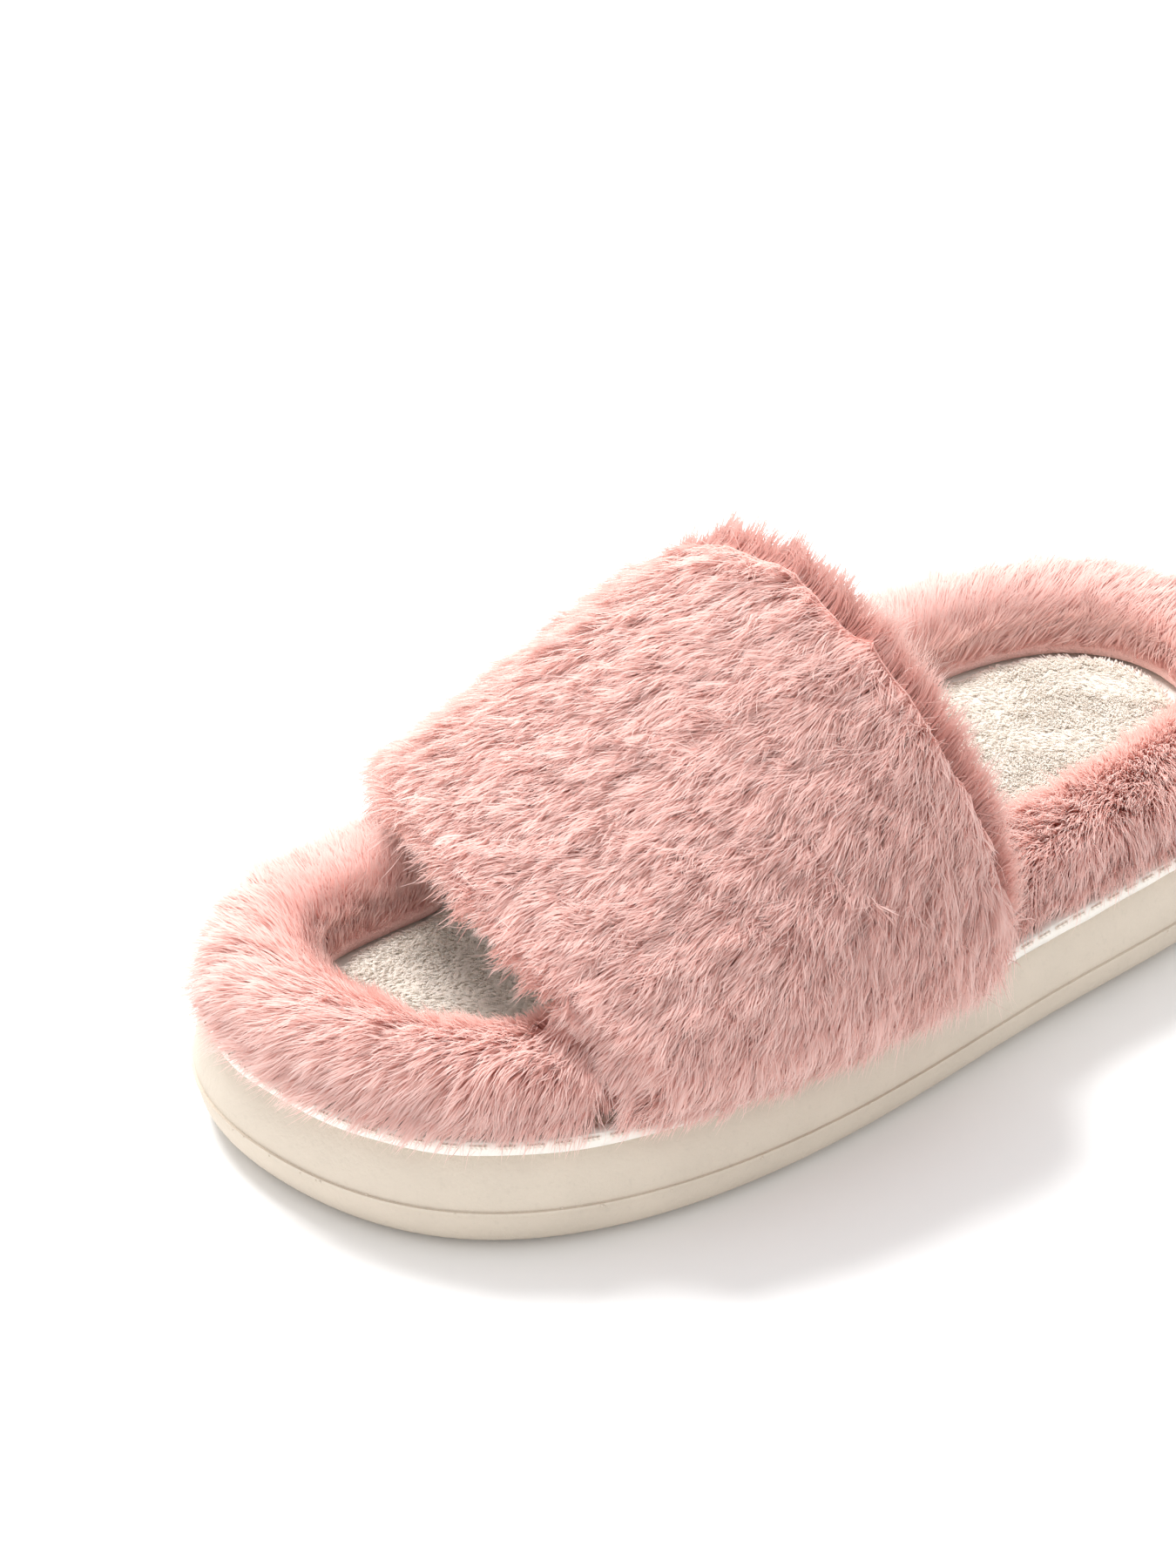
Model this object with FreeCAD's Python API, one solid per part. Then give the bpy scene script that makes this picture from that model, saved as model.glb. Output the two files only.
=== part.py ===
"""Open-toe house slipper for a left foot: moulded foam sole, padded fur rims and a padded fur band.

Millimetres. The toe points to -Y, the heel to +Y, the little-toe (lateral) side to +X and up is +Z.
The sizes are drawn about the last's centre line. The finished slipper is then moved sideways, so
that its origin is under the middle of its own box, on the surface that it stands on.
"""
import FreeCAD, Part

import math
import os

os.makedirs("parts", exist_ok=True)
Vec = FreeCAD.Vector

# Outline of the sole at its widest height
SOLE_LENGTH = 266.0
TOE_TIP_X = -9.0                # foremost point, on the big-toe side of the middle
TOE_SHOULDER_BACK = 22.0        # from the toe tip back to both toe shoulders
TOE_SHOULDER_LATERAL = 40.0
TOE_SHOULDER_MEDIAL = 50.0
BALL_LATERAL_BACK = 86.0        # from the toe tip back to the widest point
BALL_LATERAL = 58.0
BALL_MEDIAL_BACK = 62.0
BALL_MEDIAL = 54.5
WAIST_FORWARD = 112.0           # from the heel end forward to the waist
WAIST_LATERAL = 55.5
WAIST_MEDIAL = 49.5
HEEL_FORWARD = 46.0             # from the heel end forward to the widest part of the heel
HEEL_CENTRE_X = 0.5
HEEL_HALF_WIDTH = 50.5

# Moulded sole, upwards from the floor
UNDERSIDE_INSET = 7.0           # the flat underside stands back from the widest line
BELLY_LOW = 8.5                 # the side is widest from here
BELLY_HIGH = 12.5               # to here
PARTING_HEIGHT = 10.2           # flash line left where the two mould halves meet
PARTING_THICKNESS = 0.6
PARTING_PROUD = 0.4
SIDE_TOP = 22.0                 # top of the sole's side, where the welt strip starts
SIDE_TOP_INSET = 3.4
LIP_TOP = 25.0                  # top of the raised lip inside the welt strip
WELT_INSET = 1.8
WELT_THICKNESS = 2.8
TRAY_INSET = 9.0                # recess in the top of the sole, for the board and the foam
TRAY_DEPTH = 6.0
TREAD_DEPTH = 2.0
TREAD_WIDTH = 3.6
TREAD_PITCH = 13.0
TREAD_MARGIN = 13.0
TREAD_FRONT_GROOVES = 8
TREAD_HEEL_GROOVES = 5
TREAD_END_GAP = 24.0            # from each end of the sole to the first groove

# Footbed
TRAY_CLEARANCE = 0.3
BOARD_THICKNESS = 2.0
PLUSH_THICKNESS = 3.2
PLUSH_SIDE_INSET = 17.0         # edge of the footbed cover beneath the band

# Padded rims, one round the toe and one round the heel
RIM_OUTER_INSET = 2.4
RIM_WIDTH = 25.0
RIM_HEIGHT = 15.5
RIM_SEAT = 3.0                  # the rim is narrower where it sits on the sole, on each side
RIM_FUR = 6.0                   # fur cloth with its lying pile, all round the foam roll
RIM_TUCK = 12.0                 # length of each rim end beneath the band
RIM_GAP = 0.4                   # clearance between a rim, the band and the footbed cover

# Band over the foot
BAND_FRONT_BACK = 42.0          # from the toe tip back to the band's front edge, at the middle
BAND_LENGTH = 86.0              # front edge to back edge, at the middle
FRONT_SKEW = -0.24              # the front edge runs further forward on the lateral side
FRONT_BOW = 0.0048              # and bulges forward over the toes
BACK_SKEW = 0.085
BACK_BOW = 0.0005
BAND_FRONT_HEIGHT = 61.0        # top of the fur at the front edge
BAND_BACK_HEIGHT = 99.0         # top of the fur at the back edge
BAND_CREST_X = -8.0             # the crest lies towards the big toe
BAND_BELLY_HEIGHT = 34.0        # height where the band is widest
BAND_OVERHANG_LATERAL = 5.0     # how far it then stands out past the sole
BAND_OVERHANG_MEDIAL = 1.5
BAND_SEAT_INSET = 2.4           # its foot, on the sole's lip
BAND_ROUNDNESS = 1.7            # exponent of the arch: 2 is an ellipse, less is more pointed
BAND_FUR = 7.0                  # fur cloth with its lying pile
BAND_FOAM = 3.0
BAND_LINING = 2.0
HEM_TURN = 5.0                  # fur cloth turned in round the foam at each edge
TAPE_WIDTH = 9.0
TAPE_THICKNESS = 0.8

# Thread
STITCH_LENGTH = 3.2
STITCH_PITCH = 5.2
STITCH_THICKNESS = 0.6
STITCH_HEIGHT = 24.2            # of the row on the welt strip

STATIONS = 48                   # points round each outline
ARCH_POINTS = 16
PLAN_REACH = 100.0              # half length of the cutters that shape the band in plan
CUT_TOP = 150.0                 # height of those cutters

TOE_Y = -SOLE_LENGTH / 2
HEEL_Y = SOLE_LENGTH / 2
TRAY_FLOOR = LIP_TOP - TRAY_DEPTH
FOOTBED_TOP = LIP_TOP + PLUSH_THICKNESS
BAND_WALL = BAND_FUR + BAND_FOAM + BAND_LINING
FRONT_Y = TOE_Y + BAND_FRONT_BACK
BACK_Y = FRONT_Y + BAND_LENGTH


def base_outline():
    """Closed curve round the sole at its widest height."""
    corner = 0.70               # a heel corner lies at this share of the half width
    drop = 0.30                 # and this share of it forward of the heel end
    heel_lateral = HEEL_CENTRE_X + HEEL_HALF_WIDTH
    heel_medial = HEEL_CENTRE_X - HEEL_HALF_WIDTH
    points = [
        Vec(TOE_TIP_X, TOE_Y, 0),
        Vec(TOE_SHOULDER_LATERAL, TOE_Y + TOE_SHOULDER_BACK, 0),
        Vec(BALL_LATERAL, TOE_Y + BALL_LATERAL_BACK, 0),
        Vec(WAIST_LATERAL, HEEL_Y - WAIST_FORWARD, 0),
        Vec(heel_lateral, HEEL_Y - HEEL_FORWARD, 0),
        Vec(HEEL_CENTRE_X + corner * HEEL_HALF_WIDTH, HEEL_Y - drop * HEEL_HALF_WIDTH, 0),
        Vec(HEEL_CENTRE_X, HEEL_Y, 0),
        Vec(HEEL_CENTRE_X - corner * HEEL_HALF_WIDTH, HEEL_Y - drop * HEEL_HALF_WIDTH, 0),
        Vec(heel_medial, HEEL_Y - HEEL_FORWARD, 0),
        Vec(-WAIST_MEDIAL, HEEL_Y - WAIST_FORWARD, 0),
        Vec(-BALL_MEDIAL, TOE_Y + BALL_MEDIAL_BACK, 0),
        Vec(-TOE_SHOULDER_MEDIAL, TOE_Y + TOE_SHOULDER_BACK, 0),
    ]
    curve = Part.BSplineCurve()
    curve.interpolate(points, PeriodicFlag=True)
    return curve


def outline_stations():
    """Evenly spaced points round the outline, each with its outward direction."""
    curve = base_outline()
    stations = []
    for point in curve.discretize(Number=STATIONS + 1)[:-1]:
        along = curve.tangent(curve.parameter(point))[0]
        stations.append((point, Vec(along.y, -along.x, 0)))
    return stations


OUTLINE = outline_stations()


def outline_wire(inset, z):
    """The outline moved inwards by inset and lifted to z."""
    points = [p - out * inset + Vec(0, 0, z) for p, out in OUTLINE]
    curve = Part.BSplineCurve()
    curve.interpolate(points, PeriodicFlag=True, Parameters=list(range(STATIONS + 1)))
    return Part.Wire(curve.toShape())


def slab(inset, z_low, z_high):
    """Upright plate with the outline's shape."""
    face = Part.Face(outline_wire(inset, z_low))
    return face.extrude(Vec(0, 0, z_high - z_low))


def stack(profile):
    """Smooth solid through outlines given as (inset, height) pairs."""
    return Part.makeLoft([outline_wire(inset, z) for inset, z in profile], True, False)


def box_between(low, high):
    size = high - low
    return Part.makeBox(size.x, size.y, size.z, low)


def edge_y(x, middle, skew, bow):
    """How far back a band edge lies at x."""
    return middle + skew * x + bow * x * x


def cross_line(middle, skew, bow):
    """A band edge in plan, right across the slipper."""
    count = 9
    places = [PLAN_REACH * (2 * k / (count - 1) - 1) for k in range(count)]
    curve = Part.BSplineCurve()
    curve.interpolate([Vec(x, edge_y(x, middle, skew, bow), 0) for x in places])
    return curve.toShape()


def front_line(shift):
    return cross_line(FRONT_Y + shift, FRONT_SKEW, FRONT_BOW)


def back_line(shift):
    return cross_line(BACK_Y + shift, BACK_SKEW, BACK_BOW)


def straight_line(y):
    return Part.makeLine(Vec(-PLAN_REACH, y, 0), Vec(PLAN_REACH, y, 0))


def plan_cutter(first, second):
    """Everything between two lines that run across the slipper."""
    first_ends = [first.Vertexes[0].Point, first.Vertexes[-1].Point]
    second_ends = [second.Vertexes[0].Point, second.Vertexes[-1].Point]
    sides = [Part.makeLine(first_ends[k], second_ends[k]) for k in (0, 1)]
    wire = Part.Wire(Part.__sortEdges__([first, sides[1], second, sides[0]]))
    return Part.Face(wire).extrude(Vec(0, 0, CUT_TOP))


def band_zone(hem):
    """Plan shape of the band, less a hem at each edge."""
    return plan_cutter(front_line(hem), back_line(-hem))


def half_width(y, side):
    """Distance from the middle to the outline at y; side is 1 for lateral and -1 for medial."""
    reach = [p for p, out in OUTLINE if p.x * side > 0]
    reach.sort(key=lambda p: p.y)
    y = min(max(y, reach[0].y), reach[-1].y)
    for low, high in zip(reach, reach[1:]):
        if low.y <= y <= high.y:
            share = (y - low.y) / max(high.y - low.y, 1e-6)
            return abs(low.x + (high.x - low.x) * share)
    return abs(reach[-1].x)


def arch_height(y):
    """Top of the fur at y: it climbs steadily from the front edge to the back edge."""
    share = (y - FRONT_Y) / BAND_LENGTH
    return BAND_FRONT_HEIGHT + (BAND_BACK_HEIGHT - BAND_FRONT_HEIGHT) * share


def arch_point(y, depth, angle):
    """Point of the arch at y, depth below the fur's surface; angle runs from lateral to medial."""
    side = 1 if math.cos(angle) >= 0 else -1
    overhang = BAND_OVERHANG_LATERAL if side > 0 else BAND_OVERHANG_MEDIAL
    reach = half_width(y, side) + overhang - side * BAND_CREST_X - depth
    rise = arch_height(y) - BAND_BELLY_HEIGHT - depth
    power = 2.0 / BAND_ROUNDNESS
    x = BAND_CREST_X + side * reach * abs(math.cos(angle)) ** power
    z = BAND_BELLY_HEIGHT + rise * abs(math.sin(angle)) ** power
    return Vec(x, y, z)


def arch_curve(y, depth):
    """The arch's line at y, from its lateral foot over the crest to its medial foot."""
    angles = [math.pi * k / ARCH_POINTS for k in range(ARCH_POINTS + 1)]
    points = [arch_point(y, depth, a) for a in angles]
    drop = BAND_BELLY_HEIGHT - LIP_TOP
    lateral = points[0] - Vec(BAND_OVERHANG_LATERAL + BAND_SEAT_INSET, 0, drop)
    medial = points[-1] - Vec(-BAND_OVERHANG_MEDIAL - BAND_SEAT_INSET, 0, drop)
    curve = Part.BSplineCurve()
    count = len(points) + 2
    curve.interpolate([lateral] + points + [medial], Parameters=list(range(count)))
    return curve.toShape()


def arch_section(y, depth):
    """Closed section of everything beneath the arch at y."""
    arch = arch_curve(y, depth)
    ends = [arch.Vertexes[0].Point, arch.Vertexes[-1].Point]
    return Part.Wire([arch, Part.makeLine(ends[1], ends[0])])


def arch_body(depth):
    """Solid beneath the arch, longer than the band at both ends."""
    past = 34.0
    count = 9
    first, last = FRONT_Y - past, BACK_Y + past
    stations = [first + (last - first) * k / (count - 1) for k in range(count)]
    return Part.makeLoft([arch_section(y, depth) for y in stations], True, False)


def half_ring(depth, side):
    """Rim's inner or outer boundary as (inset, height) pairs, depth below the fur's surface."""
    half = RIM_WIDTH / 2 - depth
    centre = RIM_OUTER_INSET + RIM_WIDTH / 2
    low, high = LIP_TOP + depth, LIP_TOP + RIM_HEIGHT - depth
    shares = ((0.0, (half - RIM_SEAT) / half), (0.2, 0.965), (0.48, 1.0),
              (0.74, 0.86), (0.92, 0.55), (1.0, 0.22))
    return [(centre - side * half * width, low + (high - low) * up) for up, width in shares]


def rim_ring(depth):
    """Whole rim, all round the footbed."""
    return stack(half_ring(depth, 1)).cut(stack(half_ring(depth, -1)))


def toe_zone():
    return plan_cutter(straight_line(-SOLE_LENGTH), front_line(RIM_TUCK))


def heel_zone():
    return plan_cutter(back_line(-RIM_TUCK), straight_line(SOLE_LENGTH))


def band_blocker():
    """The band's own wall, a little thicker all round, which the rims stay clear of."""
    wall = arch_body(-RIM_GAP).cut(arch_body(BAND_WALL + RIM_GAP))
    return wall.common(band_zone(-RIM_GAP))


def make_rims(nodes):
    """A foam roll in a fur cover round the toe, and another round the heel."""
    blocker = band_blocker()
    whole = rim_ring(0)
    roll = rim_ring(RIM_FUR)
    for name, zone in (("toe", toe_zone()), ("heel", heel_zone())):
        rim = whole.common(zone).cut(blocker)
        nodes[name + "_rim_fur_cover"] = largest(rim.cut(roll))
        nodes[name + "_rim_foam_roll"] = largest(rim.common(roll))


def largest(shape):
    """The biggest solid of a shape, without slivers left by a cut."""
    return max(shape.Solids, key=lambda solid: solid.Volume)


def tread_grooves():
    """Straight grooves across the forefoot and across the heel, stopped short of the sides."""
    starts = [TOE_Y + TREAD_END_GAP + TREAD_PITCH * k for k in range(TREAD_FRONT_GROOVES)]
    starts += [HEEL_Y - TREAD_END_GAP - TREAD_PITCH * k for k in range(TREAD_HEEL_GROOVES)]
    area = slab(TREAD_MARGIN, 0, TREAD_DEPTH)
    half = TREAD_WIDTH / 2
    bars = [box_between(Vec(-PLAN_REACH, y - half, 0), Vec(PLAN_REACH, y + half, TREAD_DEPTH))
            for y in starts]
    return [area.common(bar) for bar in bars]


def make_sole():
    """One moulding: rounded side, flash line, lip inside the welt, tray on top and tread beneath."""
    side = stack([(UNDERSIDE_INSET, 0), (3.6, 1.7), (1.4, 4.4), (0.25, BELLY_LOW),
                  (0.25, BELLY_HIGH), (0.9, 16.8), (1.9, 19.8), (SIDE_TOP_INSET, SIDE_TOP)])
    flash_low = PARTING_HEIGHT - PARTING_THICKNESS / 2
    flash = slab(-PARTING_PROUD, flash_low, flash_low + PARTING_THICKNESS)
    lip = slab(WELT_INSET + WELT_THICKNESS, SIDE_TOP - 1.0, LIP_TOP)
    tray = slab(TRAY_INSET, TRAY_FLOOR, LIP_TOP + 1.0)
    sole = side.fuse(flash).fuse(lip).cut(tray)
    for groove in tread_grooves():
        sole = sole.cut(groove)
    return sole.removeSplitter()


def make_footbed(nodes):
    """Board and foam in the sole's tray, and the plush cover over them."""
    inset = TRAY_INSET + TRAY_CLEARANCE
    board_top = TRAY_FLOOR + BOARD_THICKNESS
    nodes["insole_board"] = slab(inset, TRAY_FLOOR, board_top)
    nodes["footbed_foam"] = slab(inset, board_top, LIP_TOP)
    rim_inside = RIM_OUTER_INSET + RIM_WIDTH + RIM_GAP
    between_rims = plan_cutter(front_line(RIM_TUCK + RIM_GAP), back_line(-RIM_TUCK - RIM_GAP))
    wide = slab(PLUSH_SIDE_INSET, LIP_TOP, FOOTBED_TOP).common(between_rims)
    narrow = slab(rim_inside, LIP_TOP, FOOTBED_TOP)
    nodes["footbed_plush_cover"] = narrow.fuse(wide).removeSplitter()


def make_welt(nodes):
    """Cloth strip round the top of the sole, and the thread that holds it."""
    outer = slab(WELT_INSET, SIDE_TOP, LIP_TOP)
    nodes["welt_strip"] = outer.cut(slab(WELT_INSET + WELT_THICKNESS, SIDE_TOP, LIP_TOP))
    curve = Part.BSplineCurve()
    points = [p - out * WELT_INSET for p, out in OUTLINE]
    curve.interpolate(points, PeriodicFlag=True)
    count = int(curve.length() / STITCH_PITCH)
    stitches = []
    for point in curve.discretize(Number=count + 1)[:-1]:
        along = curve.tangent(curve.parameter(point))[0]
        outwards = Vec(along.y, -along.x, 0)
        stitches.append(stitch(point + Vec(0, 0, STITCH_HEIGHT), along, outwards))
    nodes["welt_stitching"] = Part.makeCompound(stitches)


def stitch(point, along, outwards):
    """One short bar of thread lying on a surface."""
    across = along.cross(outwards)
    half_long = along * (STITCH_LENGTH / 2)
    half_wide = across * (STITCH_THICKNESS / 2)
    corners = [point - half_long - half_wide, point + half_long - half_wide,
               point + half_long + half_wide, point - half_long + half_wide]
    face = Part.Face(Part.makePolygon(corners + corners[:1]))
    return face.extrude(outwards * STITCH_THICKNESS)


def hem_stitches(middle, skew, bow):
    """Thread round the inside of the arch, where the turned-in fur meets the lining."""
    depth = BAND_WALL
    curve = arch_curve(middle, depth)
    count = int(curve.Length / STITCH_PITCH)
    stitches = []
    for k in range(1, count):
        angle = math.pi * k / count
        x = arch_point(middle, depth, angle).x
        y = edge_y(x, middle, skew, bow)
        before, here, after = [arch_point(y, depth, angle + turn) for turn in (-0.02, 0, 0.02)]
        along = (after - before).normalize()
        inwards = along.cross(Vec(0, 1, 0)).normalize()
        if inwards.dot(Vec(BAND_CREST_X, y, BAND_BELLY_HEIGHT) - here) < 0:
            inwards = inwards * -1
        stitches.append(stitch(here, along, inwards))
    return Part.makeCompound(stitches)


def make_band(nodes):
    """Fur cover turned in at both edges, round a foam layer, edge tapes and a lining."""
    depths = (0, BAND_FUR, BAND_FUR + TAPE_THICKNESS, BAND_FUR + BAND_FOAM, BAND_WALL)
    surface, under_fur, under_tape, under_foam, inside = [arch_body(d) for d in depths]
    whole = band_zone(0)
    filled = band_zone(HEM_TURN)
    untaped = band_zone(HEM_TURN + TAPE_WIDTH)
    filling = under_fur.cut(inside).common(filled)
    nodes["band_fur_cover"] = surface.cut(inside).common(whole).cut(filling)
    tapes = under_fur.cut(under_tape).common(filled).cut(untaped)
    ordered = sorted(tapes.Solids, key=lambda solid: solid.BoundBox.Center.y)
    nodes["front_edge_tape"], nodes["back_edge_tape"] = ordered[0], ordered[-1]
    nodes["band_foam"] = under_fur.cut(under_foam).common(filled).cut(tapes)
    nodes["band_lining"] = under_foam.cut(inside).common(filled)
    nodes["front_hem_stitching"] = hem_stitches(FRONT_Y + HEM_TURN, FRONT_SKEW, FRONT_BOW)
    nodes["back_hem_stitching"] = hem_stitches(BACK_Y - HEM_TURN, BACK_SKEW, BACK_BOW)


def make_slipper():
    nodes = {"moulded_sole": make_sole()}
    make_footbed(nodes)
    make_welt(nodes)
    make_rims(nodes)
    make_band(nodes)
    return nodes


def centred(nodes):
    """The same pieces, with the origin under the middle of the whole slipper's box."""
    boxes = [shape.optimalBoundingBox(False) for shape in nodes.values()]
    middle_x = (min(b.XMin for b in boxes) + max(b.XMax for b in boxes)) / 2
    middle_y = (min(b.YMin for b in boxes) + max(b.YMax for b in boxes)) / 2
    move = Vec(-middle_x, -middle_y, 0)
    print(f"last's centre line at x {move.x:.2f}, y {move.y:.2f}")
    return {name: shape.translated(move) for name, shape in nodes.items()}


for name, shape in centred(make_slipper()).items():
    box = shape.optimalBoundingBox(False)
    print(f"{name}: {len(shape.Solids)} solid, {shape.Volume / 1000:.1f} cm3, valid {shape.isValid()}, "
          f"x {box.XMin:.1f} {box.XMax:.1f} y {box.YMin:.1f} {box.YMax:.1f} z {box.ZMin:.1f} {box.ZMax:.1f}")
    shape.exportStep(f"parts/{name}.step")
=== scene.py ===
"""Fluffy house slipper: fur band, fur rims, plush footbed and moulded sole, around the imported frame."""

import math

import bmesh
import bpy
import numpy as np
from mathutils import Matrix, Quaternion, Vector
from mathutils.bvhtree import BVHTree
from mathutils.kdtree import KDTree


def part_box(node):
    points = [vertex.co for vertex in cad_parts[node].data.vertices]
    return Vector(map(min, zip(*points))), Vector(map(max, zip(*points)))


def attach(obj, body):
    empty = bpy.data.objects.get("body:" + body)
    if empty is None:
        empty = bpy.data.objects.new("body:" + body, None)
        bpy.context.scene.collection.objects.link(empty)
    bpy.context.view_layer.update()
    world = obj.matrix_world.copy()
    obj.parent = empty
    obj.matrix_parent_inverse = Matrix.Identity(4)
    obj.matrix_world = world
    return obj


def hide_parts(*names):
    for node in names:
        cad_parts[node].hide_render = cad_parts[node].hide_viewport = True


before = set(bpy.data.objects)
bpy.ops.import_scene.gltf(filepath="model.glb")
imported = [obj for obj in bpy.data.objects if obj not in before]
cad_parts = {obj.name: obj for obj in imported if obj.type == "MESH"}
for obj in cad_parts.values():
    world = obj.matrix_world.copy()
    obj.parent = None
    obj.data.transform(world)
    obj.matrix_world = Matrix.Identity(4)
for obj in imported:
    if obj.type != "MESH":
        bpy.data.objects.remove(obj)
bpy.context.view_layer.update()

bl_info = {
    "name": "Fluffy House Slipper",
    "version": (1, 0, 0),
    "blender": (4, 5, 0),
    "location": "View3D > Sidebar > Slipper",
    "description": "Dresses an open-toe house slipper: fur, plush, cloth, thread and sole",
    "category": "Object",
}

MM = 0.001
WELT_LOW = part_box("welt_strip")[0][2]
LIP_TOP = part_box("moulded_sole")[1][2]
FOOTBED_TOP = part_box("footbed_plush_cover")[1][2]
BED_NODES = ("footbed_foam", "footbed_plush_cover")
SEED = 20
PARTING_HEIGHT = 10.2 * MM
NUBS = 60
CLOTH_FRAMES = 20
INNER_WALL = -0.1                # a rim's wall faces inward below this share of the outward direction
STRAND_TIMES = np.array([0.0, 0.36, 0.70, 1.0])[None, :, None]
STRAND_TAPER = np.array([0.9, 1.0, 0.72, 0.0])
STRAND_LIMIT = 39500             # five triangles each, so that a piece stays under 200,000
STRAND_BEND = 1.25               # makes up for the length that the bend takes from a strand
TONE_STRIP = 0.004               # width of a strand's strip of the map
TONE_SPREAD = 0.06
FUR_EVENNESS = 0.75              # how far strands take the shading of the ground they stand on
PLUSH_EVENNESS = 0.95
EVENNESS_SUM = 1.25
BED_SPLIT = -20 * MM             # where the footbed's pile is divided into two pieces
KEY_PLACE = (-0.64, 0.0, 1.06)
FILL_PLACE = (0.6, -1.1, 0.5)
LIGHT_AIM = (0, 0, 0.03)
CAMERA_SHIFT = Vector((-5.4, 0.0, 0.0)) * MM
CAMERA_AIM = Vector((-47.7, -16.2, 27.3)) * MM
BAND_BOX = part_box("band_fur_cover")
SOLIDS = {node: BVHTree.FromObject(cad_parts[node], bpy.context.evaluated_depsgraph_get())
          for node in ("moulded_sole", "welt_strip", "footbed_foam", "footbed_plush_cover",
                       "toe_rim_fur_cover", "toe_rim_foam_roll", "heel_rim_fur_cover",
                       "heel_rim_foam_roll", "band_fur_cover", "band_foam", "band_lining")}


# ---------------------------------------------------------------- settings

def length(label, default, about):
    return bpy.props.FloatProperty(
        name=label, description=about, default=default, unit="LENGTH", subtype="DISTANCE", precision=5)


def colour(label, default, about):
    return bpy.props.FloatVectorProperty(
        name=label, description=about, default=default, subtype="COLOR", size=3, min=0.0, max=1.0)


def share(label, default, about, top=1.0):
    return bpy.props.FloatProperty(name=label, description=about, default=default, min=0.0, max=top)


class SlipperFur(bpy.types.PropertyGroup):
    """Sizes and colours of the pink fur."""
    band_length: length("Band strand", 10.4 * MM, "Length of the longest strands on the band")
    rim_length: length("Rim strand", 8.6 * MM, "Length of the longest strands on the toe and heel rims")
    strand_width: length("Strand width", 0.26 * MM, "Width of a strand at its root")
    sink: length("Pile depth", 3.8 * MM, "How far the strands' backing lies below the outside of the fur")
    clump_size: length("Clump size", 1.7 * MM, "Spacing of the tufts that strand tips gather in")
    clumping: share("Clumping", 0.26, "How far the tips of a tuft come together")
    waviness: share("Waviness", 0.34, "How far the lie of the pile wanders")
    band_density: share("Band strands", 8.4, "Strands per square millimetre on the band", 40.0)
    rim_density: share("Rim strands", 7.0, "Strands per square millimetre on the rims", 40.0)
    # the root colour is darker than the tip: painted shade deep in the pile
    root: colour("Root", (0.93, 0.54, 0.48), "Colour deep in the pile")
    middle: colour("Middle", (0.97, 0.66, 0.60), "Colour half way up a strand")
    tip: colour("Tip", (1.0, 0.83, 0.78), "Colour at a strand's tip")


class SlipperPlush(bpy.types.PropertyGroup):
    """Sizes and colours of the cream plush."""
    pile: length("Pile", 1.9 * MM, "Length of the plush on the footbed")
    density: share("Pile strands", 6.6, "Plush strands per square millimetre", 20.0)
    # the plush root is a little darker than its tip: faint painted shade deep in the plush
    root: colour("Root", (0.98, 0.94, 0.89), "Colour deep in the plush")
    tip: colour("Tip", (0.995, 0.96, 0.92), "Colour at the plush's tips")


class SlipperSole(bpy.types.PropertyGroup):
    """Finish of the moulded sole and of the sewn pieces."""
    foam: colour("Sole", (0.65, 0.57, 0.475), "Cream of the moulded foam")
    grain: length("Grain", 0.85 * MM, "Size of the moulded surface's fine grain")
    welt: colour("Welt", (0.58, 0.52, 0.44), "Off-white of the welt cloth")
    thread: colour("Thread", (0.88, 0.80, 0.70), "Colour of the sewing thread")
    welt_ripple: length("Welt ripple", 0.5 * MM, "How far the welt cloth ripples between its stitches")
    nub: length("Mould nub", 0.35 * MM, "Radius of the small nubs left along the mould's parting line")


class SlipperStage(bpy.types.PropertyGroup):
    """Floor, light and camera."""
    floor: colour("Floor", (0.93, 0.93, 0.93), "Colour of the plain floor")
    key_power: bpy.props.FloatProperty(
        name="Key light", description="Power of the large soft light", default=20.0, unit="POWER")
    fill_power: bpy.props.FloatProperty(
        name="Fill light", description="Power of the weak light from the front", default=0.4, unit="POWER")
    sky: share("Sky", 0.93, "Brightness of the even light from all round", 5.0)
    distance: length("Camera distance", 0.9614, "From the camera to the slipper")
    azimuth: bpy.props.FloatProperty(
        name="Camera azimuth", description="Angle round the slipper", default=math.radians(43.84),
        subtype="ANGLE")
    elevation: bpy.props.FloatProperty(
        name="Camera elevation", description="Angle above the floor", default=math.radians(32.9),
        subtype="ANGLE")
    roll: bpy.props.FloatProperty(
        name="Camera roll", description="Tilt of the camera about its own line of sight",
        default=math.radians(1.0), subtype="ANGLE")
    lens: bpy.props.FloatProperty(
        name="Lens", description="Focal length on a 36 mm frame", default=107.6, unit="CAMERA")


# ---------------------------------------------------------------- shader graphs

class Wire:
    """A node's output that does sums as a number does."""

    def __init__(self, graph, socket):
        self.graph = graph
        self.socket = socket

    def sum(self, operation, first, second):
        return self.graph.add("ShaderNodeMath", {"operation": operation}, {0: first, 1: second})

    def __add__(self, other):
        return self.sum("ADD", self, other)

    def __sub__(self, other):
        return self.sum("SUBTRACT", self, other)

    def __rsub__(self, other):
        return self.sum("SUBTRACT", other, self)

    def __mul__(self, other):
        return self.sum("MULTIPLY", self, other)

    __radd__ = __add__
    __rmul__ = __mul__


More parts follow.
